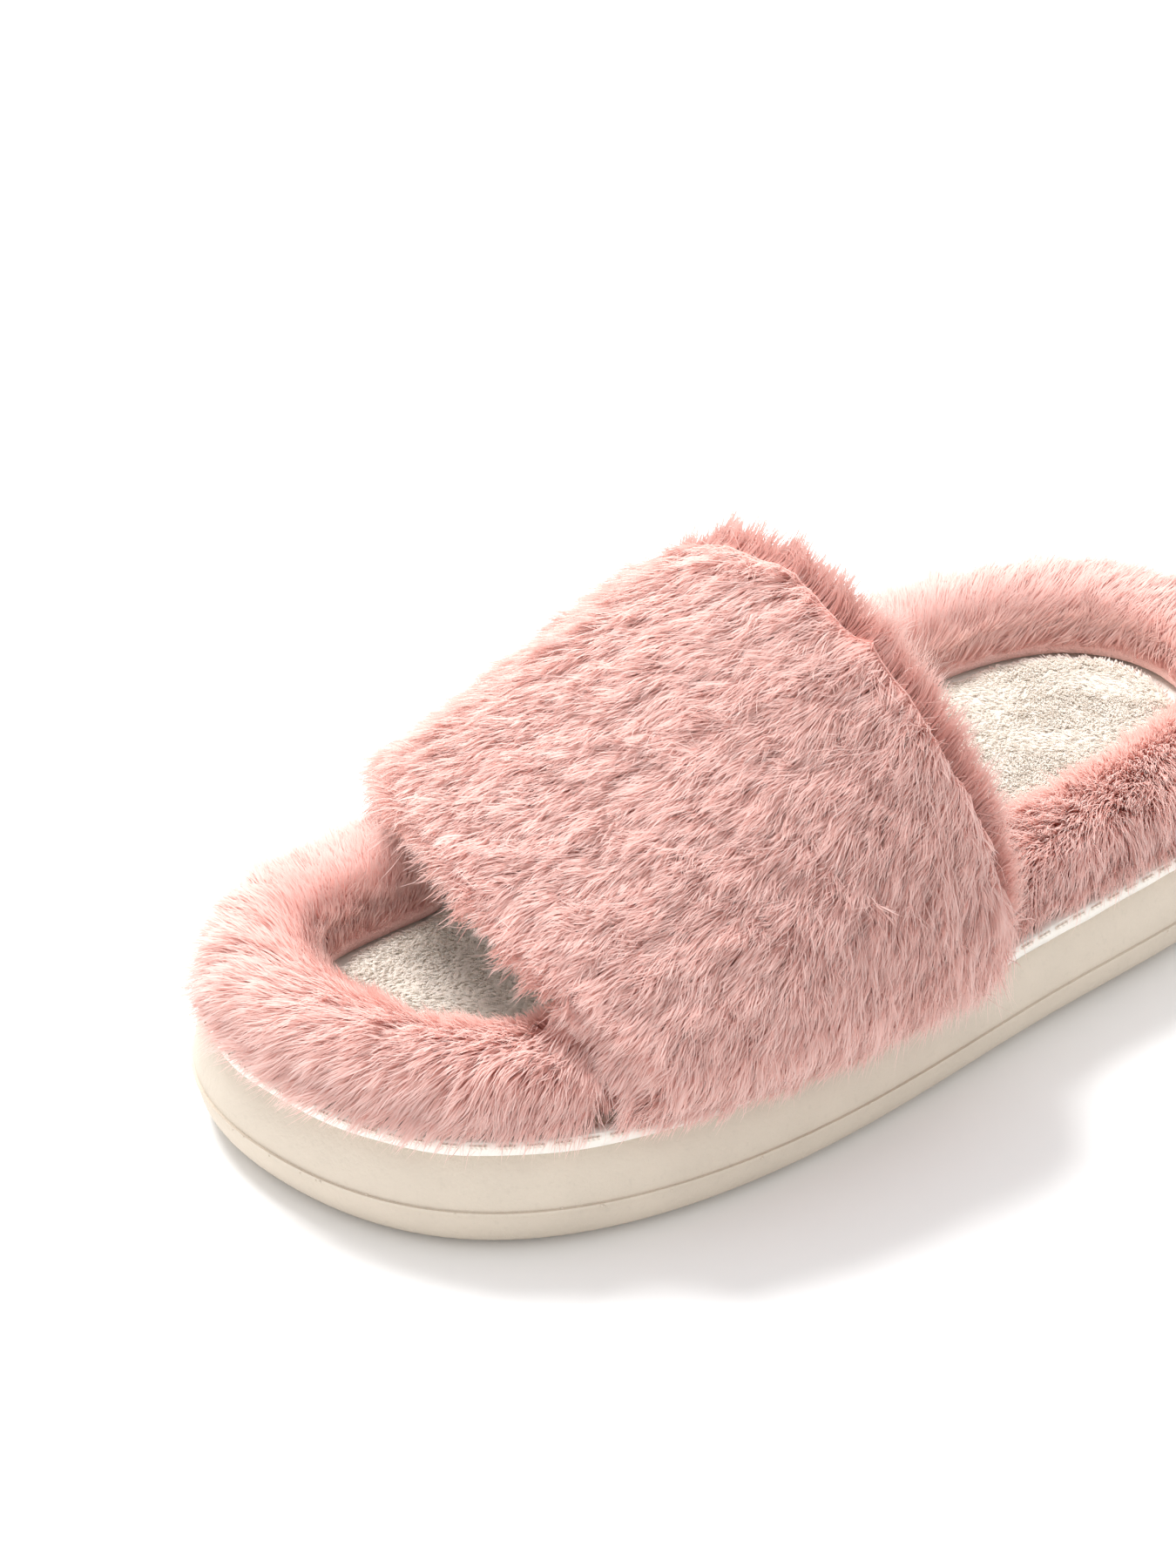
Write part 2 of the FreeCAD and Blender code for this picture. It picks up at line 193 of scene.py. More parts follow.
class Finish:
    """A new material, and the one method that adds a node to it."""

    def __init__(self, name):
        self.material = bpy.data.materials.new(name)
        self.material.use_nodes = True
        self.tree = self.material.node_tree
        self.tree.nodes.clear()

    def add(self, kind, settings=None, inputs=None, output=0):
        node = self.tree.nodes.new(kind)
        for key, value in (settings or {}).items():
            if key == "stops":
                ramp = node.color_ramp
                while len(ramp.elements) < len(value):
                    ramp.elements.new(0.5)
                for element, (place, tint) in zip(ramp.elements, value):
                    element.position = place
                    element.color = (*tint, 1.0)
            else:
                setattr(node, key, value)
        for key, value in (inputs or {}).items():
            if isinstance(value, Wire):
                self.tree.links.new(value.socket, node.inputs[key])
            elif isinstance(value, (tuple, list)) and len(node.inputs[key].default_value) == 4:
                node.inputs[key].default_value = (*value[:3], 1.0)
            else:
                node.inputs[key].default_value = value
        return None if output is None else Wire(self, node.outputs[output])

    def place(self):
        return self.add("ShaderNodeTexCoord", output="Object")

    def noise(self, place, size, detail=2.0, roughness=0.5):
        return self.add("ShaderNodeTexNoise", None,
                        {"Vector": place, "Scale": 1.0 / size, "Detail": detail, "Roughness": roughness})

    def mix(self, factor, first, second, blend="MIX"):
        node = {"data_type": "RGBA", "blend_type": blend}
        return self.add("ShaderNodeMix", node, {0: factor, 6: first, 7: second}, output=2)

    def bump(self, height, depth, strength=1.0, normal=None):
        inputs = {"Height": height, "Distance": depth, "Strength": strength}
        if normal is not None:
            inputs["Normal"] = normal
        return self.add("ShaderNodeBump", None, inputs)

    def shade(self, **inputs):
        sockets = {key.replace("_", " "): value for key, value in inputs.items()}
        return self.surface(self.add("ShaderNodeBsdfPrincipled", None, sockets))

    def surface(self, shader):
        self.add("ShaderNodeOutputMaterial", None, {"Surface": shader}, output=None)
        return self.material


def pile_finish(name, root, middle, tip, dusk, sheen, glow):
    """Fur or plush: the strand's own map gives the tone across and the root to tip up."""
    fin = Finish(name)
    own = fin.add("ShaderNodeUVMap", {"uv_map": "OFBake"})
    across = fin.add("ShaderNodeSeparateXYZ", None, {0: own})
    up = fin.add("ShaderNodeSeparateXYZ", None, {0: own}, output=1)
    # the ramp darkens from tip to root: painted shade deep in the pile
    body = fin.add("ShaderNodeValToRGB",
                   {"stops": [(0.0, root), (0.42, middle), (1.0, tip)]}, {0: up})
    shade = tuple(part * dusk for part in middle)
    pale = tuple(1.0 - (1.0 - part) * 0.6 for part in tip)
    deep = fin.mix(0.5 - across, body, shade)
    light = fin.mix(across - 0.5, deep, pale)
    solid = fin.add("ShaderNodeBsdfPrincipled", None,
                    {"Base Color": light, "Roughness": 0.62, "Sheen Weight": sheen,
                     "Sheen Roughness": 0.45, "Sheen Tint": tip, "Specular IOR Level": 0.15})
    through = fin.add("ShaderNodeBsdfTranslucent", None, {"Color": tuple(middle)})
    return fin.surface(fin.add("ShaderNodeMixShader", None, {0: glow, 1: solid, 2: through}))


def backing_finish(name, low, high):
    """Dense short underfur between the strands."""
    fin = Finish(name)
    place = fin.place()
    blotch = fin.noise(place, 6 * MM)
    fibre = fin.noise(place, 0.6 * MM, 3.0, 0.6)
    tint = fin.mix(blotch * 0.6 + fibre * 0.4, low, high)
    return fin.shade(Base_Color=tint, Roughness=0.85, Sheen_Weight=0.2, Sheen_Roughness=0.5,
                     Specular_IOR_Level=0.1, Normal=fin.bump(fibre, 0.5 * MM, 0.8))


def cloth_finish(name, tint, thread=0.45 * MM, rough=0.8):
    """A plain weave: two crossed waves, with slubs."""
    fin = Finish(name)
    place = fin.place()
    warp = fin.add("ShaderNodeTexWave", {"wave_type": "BANDS", "bands_direction": "DIAGONAL"},
                   {"Vector": place, "Scale": 0.16 / thread, "Distortion": 0.6}, output=1)
    weft = fin.add("ShaderNodeTexWave", {"wave_type": "BANDS", "bands_direction": "Z"},
                   {"Vector": place, "Scale": 0.16 / thread, "Distortion": 0.6}, output=1)
    weave = warp * 0.5 + weft * 0.5
    slub = fin.noise(place, 3 * MM, 3.0)
    shadow = tuple(part * 0.80 for part in tint)
    cloth = fin.mix(weave * 0.5 + slub * 0.5, shadow, tint)
    return fin.shade(Base_Color=cloth, Roughness=rough, Sheen_Weight=0.15, Sheen_Roughness=0.5,
                     Specular_IOR_Level=0.2, Normal=fin.bump(weave, 0.12 * MM, 0.7))


def foam_finish(name, tint, cell, rough=0.85):
    """Cut foam: open cells of about one size."""
    fin = Finish(name)
    place = fin.place()
    cells = fin.add("ShaderNodeTexVoronoi", None, {"Vector": place, "Scale": 1.0 / cell})
    mottle = fin.noise(place, 8 * MM)
    low = tuple(part * 0.78 for part in tint)
    shade = fin.mix(cells * 0.7 + mottle * 0.3, low, tint)
    return fin.shade(Base_Color=shade, Roughness=rough, Specular_IOR_Level=0.15,
                     Normal=fin.bump(cells, 0.3 * MM, 0.8))


def sole_finish(name, tint, grain):
    """Moulded foam with a fine leathery grain, a slow mottle and faint darker specks."""
    fin = Finish(name)
    place = fin.place()
    fine = fin.noise(place, grain, 3.0, 0.65)
    hide = fin.add("ShaderNodeTexVoronoi", {"feature": "SMOOTH_F1"},
                   {"Vector": place, "Scale": 0.5 / grain, "Smoothness": 0.6})
    slow = fin.noise(place, 14 * MM, 3.0)
    speck = fin.add("ShaderNodeValToRGB",
                    {"stops": [(0.0, (0, 0, 0)), (0.60, (0, 0, 0)), (0.72, (1, 1, 1))]},
                    {0: fin.noise(place, 1.6 * grain, 2.0)})
    cool = tuple(part * 0.90 for part in tint)
    warm = tuple(min(1.0, part * 1.07) for part in tint)
    dark = tuple(part * 0.80 for part in tint)
    foam = fin.mix(slow, cool, warm)
    foam = fin.mix(speck * 0.22, foam, dark)
    swell = fin.bump(slow, 1.2 * MM, 0.3)
    skin = fin.bump(fine * 0.7 + hide * 0.3, 0.32 * MM, 0.8, swell)
    return fin.shade(Base_Color=foam, Roughness=fine * 0.14 + 0.52, Specular_IOR_Level=0.32,
                     Normal=skin)


def board_finish(name, tint):
    """Fibre board: pressed flakes."""
    fin = Finish(name)
    place = fin.place()
    flakes = fin.noise(place, 1.5 * MM, 4.0, 0.7)
    dark = tuple(part * 0.7 for part in tint)
    return fin.shade(Base_Color=fin.mix(flakes, dark, tint), Roughness=0.8, Specular_IOR_Level=0.2,
                     Normal=fin.bump(flakes, 0.1 * MM, 0.5))


def thread_finish(name, tint):
    """Twisted sewing thread."""
    fin = Finish(name)
    place = fin.place()
    ply = fin.add("ShaderNodeTexWave", {"wave_type": "BANDS", "bands_direction": "DIAGONAL"},
                  {"Vector": place, "Scale": 500.0, "Distortion": 1.0}, output=1)
    dark = tuple(part * 0.75 for part in tint)
    return fin.shade(Base_Color=fin.mix(ply, dark, tint), Roughness=0.55, Sheen_Weight=0.2,
                     Specular_IOR_Level=0.3, Normal=fin.bump(ply, 0.08 * MM, 0.7))


# ---------------------------------------------------------------- meshes

def settings():
    scene = bpy.context.scene
    return scene.slipper_fur, scene.slipper_plush, scene.slipper_sole, scene.slipper_stage


def give(piece, *materials):
    piece.data.materials.clear()
    for material in materials:
        piece.data.materials.append(material)
    return piece


def new_object(name, mesh):
    piece = bpy.data.objects.new(name, mesh)
    bpy.context.scene.collection.objects.link(piece)
    return piece


def smooth(piece):
    piece.data.polygons.foreach_set("use_smooth", np.ones(len(piece.data.polygons), bool))
    piece.data.update()
    return piece


def merged_copy(node, name):
    """A new object with a CAD node's shape, its loose triangles merged."""
    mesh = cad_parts[node].data.copy()
    bm = bmesh.new()
    bm.from_mesh(mesh)
    bmesh.ops.remove_doubles(bm, verts=bm.verts, dist=0.01 * MM)
    bm.to_mesh(mesh)
    bm.free()
    mesh.materials.clear()
    return new_object(name, mesh)


def apply_modifiers(piece):
    graph = bpy.context.evaluated_depsgraph_get()
    mesh = bpy.data.meshes.new_from_object(piece.evaluated_get(graph), depsgraph=graph)
    old = piece.data
    piece.modifiers.clear()
    piece.data = mesh
    bpy.data.meshes.remove(old)
    mesh.name = piece.name
    return piece


def points_of(mesh):
    place = np.empty(len(mesh.vertices) * 3, np.float32)
    mesh.vertices.foreach_get("co", place)
    return place.reshape(-1, 3).astype(float)


def set_points(mesh, place):
    mesh.vertices.foreach_set("co", np.ascontiguousarray(place, np.float32).ravel())
    mesh.update()


def normals_of(mesh):
    facing = np.empty(len(mesh.vertices) * 3, np.float32)
    mesh.vertex_normals.foreach_get("vector", facing)
    return facing.reshape(-1, 3).astype(float)


def unit(rows):
    return rows / np.maximum(np.linalg.norm(rows, axis=-1, keepdims=True), 1e-9)


def stuffed(node, name, voxel, pressure, cap):
    """A soft copy of a CAD solid: remeshed evenly, blown up a little as cloth, and rounded."""
    piece = merged_copy(node, name)
    remesh = piece.modifiers.new("even", "REMESH")
    remesh.mode = "VOXEL"
    remesh.voxel_size = voxel
    ease = piece.modifiers.new("ease", "SMOOTH")
    ease.factor = 0.5
    ease.iterations = 4
    apply_modifiers(piece)
    swell(piece, pressure, cap)
    rounded = piece.modifiers.new("rounded", "SUBSURF")
    rounded.levels = rounded.render_levels = 1
    return smooth(apply_modifiers(piece))


def swell(piece, pressure, cap):
    """A few frames of cloth under pressure, with every point's travel capped."""
    rest = points_of(piece.data)
    cloth = piece.modifiers.new("cloth", "CLOTH")
    cloth.settings.use_pressure = True
    cloth.settings.uniform_pressure_force = pressure
    cloth.settings.effector_weights.gravity = 0.0
    cloth.settings.quality = 5
    scene = bpy.context.scene
    for step in range(1, CLOTH_FRAMES + 1):
        scene.frame_set(step)
    apply_modifiers(piece)
    scene.frame_set(1)
    moved = points_of(piece.data) - rest
    reach = np.linalg.norm(moved, axis=1, keepdims=True)
    set_points(piece.data, rest + moved * np.minimum(1.0, cap / np.maximum(reach, 1e-9)))


def openness(piece, reach, own, passed=()):
    """For each vertex, 1 where no other solid, apart from those passed over, is within reach, else 0."""
    place, facing = points_of(piece.data), normals_of(piece.data)
    free = np.ones(len(place))
    for node, solid in SOLIDS.items():
        if node == own or node in passed:
            continue
        for index in np.flatnonzero(free):
            origin = Vector(place[index] + facing[index] * 0.4 * MM)
            if solid.ray_cast(origin, Vector(facing[index]), reach)[0] is not None:
                free[index] = 0.0
    return free


def spread_weight(mesh, weight, rounds):
    """A weight averaged along the mesh's edges a number of times."""
    pairs = np.empty(len(mesh.edges) * 2, np.int32)
    mesh.edges.foreach_get("vertices", pairs)
    pairs = pairs.reshape(-1, 2)
    count = np.bincount(pairs.ravel(), minlength=len(weight)) + 1.0
    for _ in range(rounds):
        total = weight.copy()
        np.add.at(total, pairs[:, 0], weight[pairs[:, 1]])
        np.add.at(total, pairs[:, 1], weight[pairs[:, 0]])
        weight = total / count
    return weight


# ---------------------------------------------------------------- pile

def ripple(place, size, seed):
    """A smooth field from -1 to 1 that changes over about one size: a few plane waves added up."""
    rng = np.random.default_rng(seed)
    field = np.zeros(len(place))
    for _ in range(7):
        way = rng.normal(size=3)
        way = way / np.linalg.norm(way) * (2 * math.pi / size) * rng.uniform(0.6, 1.5)
        field += np.sin(place @ way + rng.uniform(0, 2 * math.pi))
    return field / 3.0


def wander(place, size, seed):
    return np.stack([ripple(place, size, seed + axis) for axis in range(3)], axis=1)


def roots_on(mesh, weight, density, rng):
    """Root points spread over a mesh by area, with smooth normals."""
    mesh.calc_loop_triangles()
    corners = np.empty(len(mesh.loop_triangles) * 3, np.int32)
    mesh.loop_triangles.foreach_get("vertices", corners)
    corners = corners.reshape(-1, 3)
    place, facing = points_of(mesh), normals_of(mesh)
    a, b, c = (place[corners[:, i]] for i in range(3))
    area = 0.5 * np.linalg.norm(np.cross(b - a, c - a), axis=1) * weight[corners].mean(axis=1)
    count = int(area.sum() * density)
    pick = rng.choice(len(corners), count, p=area / area.sum())
    u, v = rng.random((2, count))
    over = u + v > 1
    u[over], v[over] = 1 - u[over], 1 - v[over]
    parts = np.stack([1 - u - v, u, v], axis=1)[:, :, None]
    chosen = corners[pick]
    return (place[chosen] * parts).sum(axis=1), unit((facing[chosen] * parts).sum(axis=1))


def strand_card():
    """One flat strand: three cells long, its last two corners welded to a point."""
    bm = bmesh.new()
    bmesh.ops.create_grid(bm, x_segments=1, y_segments=3, size=0.5)
    top = sorted(bm.verts, key=lambda vert: vert.co.y)[-2:]
    bmesh.ops.pointmerge(bm, verts=top, merge_co=(0, 0.5, 0))
    mesh = bpy.data.meshes.new("strand_card")
    bm.to_mesh(mesh)
    bm.free()
    return mesh


def pile(name, stations, facing, width, tone, rng, even):
    """A piece of many strands. stations holds each strand's line as four points."""
    count = len(stations)
    card = strand_card()
    layout = points_of(card)
    row = np.rint((layout[:, 1] + 0.5) * 3).astype(int)
    side = np.where(row == 3, 0.0, np.sign(layout[:, 0]))
    piece = new_object(name, card)
    repeat = piece.modifiers.new("repeat", "ARRAY")
    repeat.count = count
    repeat.use_relative_offset = False
    repeat.use_constant_offset = True
    repeat.constant_offset_displace = (0.0, 0.0, 0.0)
    apply_modifiers(piece)
    mesh = piece.data
    along = unit(np.gradient(stations, axis=1))
    loose = EVENNESS_SUM - even
    twist = 1.4 * loose
    turn = rng.uniform(-twist, twist, (count, 1, 1))
    across = unit(np.cross(along, facing[:, None, :]))
    lift = np.cross(across, along)
    across = across * np.cos(turn) + lift * np.sin(turn)
    half = across * (width[:, None, None] * 0.5) * STRAND_TAPER[None, :, None]
    place = stations[:, row, :] + half[:, row, :] * side[None, :, None]
    set_points(mesh, place.reshape(-1, 3))
    own = mesh.uv_layers.new(name="OFBake")
    corner = np.empty(len(mesh.loops), np.int32)
    mesh.loops.foreach_get("vertex_index", corner)
    strand, vertex = corner // len(layout), corner % len(layout)
    u = np.clip(tone, 0.005, 0.99)[strand] + TONE_STRIP * 0.5 * side[vertex]
    v = 0.01 + 0.98 * row[vertex] / 3.0
    own.data.foreach_set("uv", np.stack([u, v], axis=1).astype(np.float32).ravel())
    smooth(piece)
    soft = unit(facing[:, None, :] * even + lift * loose)[:, row, :]
    mesh.normals_split_custom_set_from_vertices(soft.reshape(-1, 3))
    return piece


def lay_strands(roots, facing, comb, reach, groom):
    """The four points of each strand: out of the backing, then over along the comb."""
    start = unit(facing * groom["rise"] + comb * (1.0 - groom["rise"]))
    bend = wander(roots, 11 * MM, groom["seed"]) * groom["wave"]
    bend += wander(roots, 3.6 * MM, groom["seed"] + 9) * groom["wave"] * 0.7
    rng = groom["rng"]
    bend += rng.normal(size=roots.shape) * groom["stray"]
    over = unit(comb + facing * groom["lift"] + bend)
    time = STRAND_TIMES
    line = start[:, None, :] * (time - time ** 2 / 2) + over[:, None, :] * (time ** 2 / 2)
    return roots[:, None, :] + line * STRAND_BEND * reach[:, None, None]


def gather(stations, spacing, pull, rng):
    """Draws the tips of neighbouring strands together into tufts."""
    roots = stations[:, 0]
    count = max(4, int(len(roots) * min(1.0, groom_area(roots) / spacing ** 2 / len(roots))))
    heads = rng.choice(len(roots), min(count, len(roots)), replace=False)
    tree = KDTree(len(heads))
    for index, head in enumerate(heads):
        tree.insert(Vector(roots[head]), index)
    tree.balance()
    nearest = np.array([tree.find(Vector(root))[1] for root in roots])
    guide = stations[heads[nearest]]
    drawn = pull * rng.uniform(0.4, 1.0, (len(roots), 1, 1)) * STRAND_TIMES ** 1.6
    return stations + (guide - stations) * drawn, nearest


def groom_area(roots):
    """A rough area of the ground the roots stand on, from a count of filled cells."""
    cell = 2.5 * MM
    filled = np.unique(np.floor(roots / cell).astype(int), axis=0)
    return len(filled) * cell ** 2 * 0.72


def rest_above(stations, low):
    """Lifts what would sink below a height, so that it lies along it instead."""
    z = stations[:, :, 2]
    under = z < low
    stations[:, :, 2] = np.where(under, low + (z - low) * 0.12, z)
    return stations


def coat(name, roots, facing, comb, reach, low, groom, width, tone_shift, even=FUR_EVENNESS):
    """One layer of strands over a cover, gathered in tufts, as one piece."""
    rng = groom["rng"]
    if len(roots) > STRAND_LIMIT:
        keep = rng.choice(len(roots), STRAND_LIMIT, replace=False)
        roots, facing, comb, reach, low = (rows[keep] for rows in (roots, facing, comb, reach, low))
    stations = lay_strands(roots, facing, comb, reach, groom)
    drop = roots[:, 2] - stations[:, 3, 2]
    spare = roots[:, 2] - low + rng.uniform(0.0, 2.0 * MM, len(roots))
    fit = np.where(drop > spare, np.clip(spare / np.maximum(drop, 1e-6), 0.5, 1.0), 1.0)
    stations = roots[:, None, :] + (stations - roots[:, None, :]) * fit[:, None, None]
    stations, tuft = gather(stations, groom["spacing"], groom["pull"], rng)
    stations = rest_above(stations, low[:, None])
    tuft_tone = rng.normal(0.0, TONE_SPREAD, tuft.max() + 1)[tuft]
    patch = ripple(roots, 16 * MM, groom["seed"] + 40) * 0.10
    tone = 0.5 + tone_shift + tuft_tone + patch + rng.normal(0.0, TONE_SPREAD, len(roots))
    widths = width * rng.uniform(0.7, 1.15, len(roots))
    return pile(name, stations, facing, widths, tone, rng, even)


def tangent(way, facing):
    """The part of a direction that lies in the surface."""
    return unit(way - facing * (way * facing).sum(axis=1, keepdims=True))


def down_rows(count, weight):
    return np.tile([0.0, 0.0, -1.0], (count, 1)) * np.reshape(weight, (-1, 1))


def comb_band(roots, facing):
    """The pile runs to the toe and falls down both sides. It parts at the back hem, and stands up there."""
    steep = np.abs(facing[:, 0])
    back = np.clip(facing[:, 1] * 2.0 - 0.4, 0.0, 1.0)[:, None]
    way = np.tile([-0.05, -1.0, 0.0], (len(roots), 1)) + down_rows(len(roots), 0.15 + 0.95 * steep)
    lying = np.clip(np.abs(2.0 * back - 1.0) * 1.6, 0.2, 1.0)
    return tangent(way * (1.0 - back) + np.array([0.0, 0.7, 0.25]) * back, facing) * lying


def comb_rim(centre, forward):
    """Round a rim the pile runs up the inner wall, over the crest and down the outer wall."""
    def comb(roots, facing):
        out = outward_from(roots, centre)
        wall = (facing * out).sum(axis=1)
        along = np.cross(out, [0.0, 0.0, 1.0])
        way = out * 0.8 + along * 0.55 + down_rows(len(roots), wall * 0.8)
        way[:, 1] -= forward
        return tangent(way, facing)
    return comb


def outward_from(roots, centre):
    """Level unit directions away from an upright axis."""
    out = roots - np.array(centre)
    out[:, 2] = 0.0
    return unit(out)


def reach_band(roots, facing):
    """The band's pile is longer towards its back edge and shorter at the front hem and the inner side."""
    low, high = BAND_BOX
    back = (roots[:, 1] - low[1]) / (high[1] - low[1])
    reach = 0.84 + 0.42 * back
    reach = reach * np.where(facing[:, 0] < -0.5, 0.88, 1.0)
    hem = np.clip(np.abs(facing[:, 1]) * 1.6 - 0.2, 0.0, 1.0)
    return reach * (1.0 - np.where(facing[:, 1] < 0.0, 0.38, 0.30) * hem)


def reach_rim(centre, inner):
    """A rim's pile is shorter on its inner wall."""
    def reach(roots, facing):
        wall = (facing * outward_from(roots, centre)).sum(axis=1)
        return 1.0 - (1.0 - inner) * np.clip(0.3 - wall * 1.3, 0.0, 1.0)
    return reach


# ---------------------------------------------------------------- pieces

def fur_cover(node, name, centre, comb, coats, density, reach, reach_over):
    """A fur cover: the soft backing that replaces its CAD solid, and its coats of strands."""
    fur = settings()[0]
    rng = np.random.default_rng(SEED + len(name))
    backing = stuffed(node, f"{name}_backing", 2.6 * MM, 4.0, 0.8 * MM)
    free = openness(backing, 2.6 * MM, node, BED_NODES)
    place, out = points_of(backing.data), normals_of(backing.data)
    walled = (out * outward_from(place, centre)).sum(axis=1) < INNER_WALL
    free[walled & (place[:, 2] < FOOTBED_TOP)] = 0.0
    weight = spread_weight(backing.data, free, 3)
    sunk = place - out * (weight ** 1.5 * fur.sink)[:, None]
    ground = np.where(weight > 0.5, free, 0.0)
    set_points(backing.data, sunk)
    relax(backing.data, weight, 4)
    roots, facing = roots_on(backing.data, ground, density / MM ** 2, rng)
    way = comb(roots, facing)
    inner = (facing * outward_from(roots, centre)).sum(axis=1) < INNER_WALL
    low = np.where(inner, FOOTBED_TOP + 0.2 * MM, WELT_LOW + 0.8 * MM)
    deck = rng.random(len(roots))
    start = 0.0
    made = []
    for title, part, long, rise, lift, wide, tone, spacing, pull in coats:
        mine = (deck >= start) & (deck < start + part)
        start += part
        groom = {"rng": rng, "seed": SEED + len(made) * 3, "rise": rise, "lift": lift,
                 "wave": fur.waviness, "stray": 0.10, "spacing": spacing * fur.clump_size,
                 "pull": pull * fur.clumping}
        size = reach * long * rng.uniform(0.78, 1.12, mine.sum())
        size *= 1.0 + 0.10 * ripple(roots[mine], 9 * MM, SEED + 70)
        size *= reach_over(roots[mine], facing[mine])
        piece = coat(f"{name}_{title}", roots[mine], facing[mine], way[mine], size, low[mine], groom,
                     fur.strand_width * wide, tone)
        made.append(give(piece, bpy.data.materials["pink_fur"]))
    give(backing, bpy.data.materials["pink_underfur"])
    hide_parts(node)
    return [backing, *made]


def relax(mesh, weight, rounds):
    """Evens out the sunk part of a backing."""
    place = points_of(mesh)
    for axis in range(3):
        eased = spread_weight(mesh, place[:, axis], rounds)
        place[:, axis] += (eased - place[:, axis]) * np.clip(weight, 0, 1) * 0.7
    set_points(mesh, place)


def ride(pieces):
    for piece in pieces:
        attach(piece, "root")


FUR_COATS = [
    # title, share, length, rise, lift, width, tone, tuft spacing, tuft pull
    ("undercoat", 0.22, 0.78, 0.72, 0.25, 1.25, -0.10, 0.8, 0.4),
    ("pile", 0.33, 0.95, 0.60, 0.14, 1.0, 0.0, 1.0, 1.0),
    ("top_pile", 0.33, 1.0, 0.56, 0.10, 1.0, 0.05, 1.3, 1.2),
    ("guard_hairs", 0.12, 1.12, 0.58, 0.18, 0.7, 0.20, 0.7, 0.6),
]


class SLIPPER_OT_finishes(bpy.types.Operator):
    """Make every material of the slipper"""
    bl_idname = "slipper.finishes"
    bl_label = "Make the finishes"

    def execute(self, context):
        fur, plush, sole, _ = settings()
        half = tuple((low + high) / 2 for low, high in zip(plush.root, plush.tip))
        pile_finish("pink_fur", tuple(fur.root), tuple(fur.middle), tuple(fur.tip), 0.72, 0.35, 0.38)
        # the underfur takes the darker root and middle colours, which carry the painted shade deep in the
        # pile
        backing_finish("pink_underfur", tuple(fur.root), tuple(fur.middle))
        pile_finish("cream_plush", tuple(plush.root), half, tuple(plush.tip), 0.97, 0.2, 0.62)
        backing_finish("cream_underplush", half, tuple(plush.tip))
        sole_finish("cream_sole_foam", tuple(sole.foam), sole.grain)
        cloth_finish("welt_cloth", tuple(sole.welt))
        thread_finish("sewing_thread", tuple(sole.thread))
        foam_finish("soft_foam", (0.90, 0.84, 0.68), 0.9 * MM)
        board_finish("insole_board", (0.50, 0.40, 0.29))
        cloth_finish("hem_tape", (0.88, 0.84, 0.78), 0.7 * MM)
        return {"FINISHED"}


class SLIPPER_OT_sole(bpy.types.Operator):
    """Give the moulded sole its grain and the nubs along its parting line"""
    bl_idname = "slipper.sole"
    bl_label = "Sole"

    def execute(self, context):
        give(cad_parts["moulded_sole"], bpy.data.materials["cream_sole_foam"])
        give(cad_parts["insole_board"], bpy.data.materials["insole_board"])
        sole = settings()[2]
        place = points_of(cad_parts["moulded_sole"].data)
        flange = place[np.abs(place[:, 2] - PARTING_HEIGHT) < 0.4 * MM]
        flange = flange[np.argsort(np.arctan2(flange[:, 1], flange[:, 0]))]
        rng = np.random.default_rng(SEED + 30)
        bm = bmesh.new()
        for spot in flange[rng.choice(len(flange), NUBS, replace=False)]:
            size = sole.nub * rng.uniform(0.5, 1.0)
            bmesh.ops.create_icosphere(bm, subdivisions=2, radius=size, matrix=Matrix.Translation(spot))
        mesh = bpy.data.meshes.new("sole_mould_nubs")
        bm.to_mesh(mesh)
        bm.free()
        nubs = smooth(give(new_object("sole_mould_nubs", mesh), bpy.data.materials["cream_sole_foam"]))
        ride([nubs])
        return {"FINISHED"}


class SLIPPER_OT_sewing(bpy.types.Operator):
    """Give the welt, the tapes, the foam layers and the stitches their finishes"""
    bl_idname = "slipper.sewing"
    bl_label = "Welt, tapes, foam and stitches"

    def execute(self, context):
        sole = settings()[2]
        strip = merged_copy("welt_strip", "welt_cloth_strip")
        bm = bmesh.new()
        bm.from_mesh(strip.data)
        long = [edge for edge in bm.edges if edge.calc_length() > 3 * MM]
        bmesh.ops.subdivide_edges(bm, edges=long, cuts=2)
        bm.to_mesh(strip.data)
        bm.free()
        place = points_of(strip.data)
        wave = ripple(place * [1, 1, 0.2], 17 * MM, SEED + 5) * sole.welt_ripple
        out = unit(place * [1, 1, 0])
        place += out * (wave * (place[:, 2] < LIP_TOP - 0.5 * MM))[:, None] * 0.6
        set_points(strip.data, place)
        give(smooth(strip), bpy.data.materials["welt_cloth"])
        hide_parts("welt_strip")
        ride([strip])
        for node, finish in (("welt_stitching", "sewing_thread"), ("front_hem_stitching", "sewing_thread"),
                             ("back_hem_stitching", "sewing_thread"), ("front_edge_tape", "hem_tape"),
                             ("back_edge_tape", "hem_tape"), ("footbed_foam", "soft_foam"),
                             ("band_foam", "soft_foam"), ("toe_rim_foam_roll", "soft_foam"),
                             ("heel_rim_foam_roll", "soft_foam")):
            give(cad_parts[node], bpy.data.materials[finish])
        return {"FINISHED"}


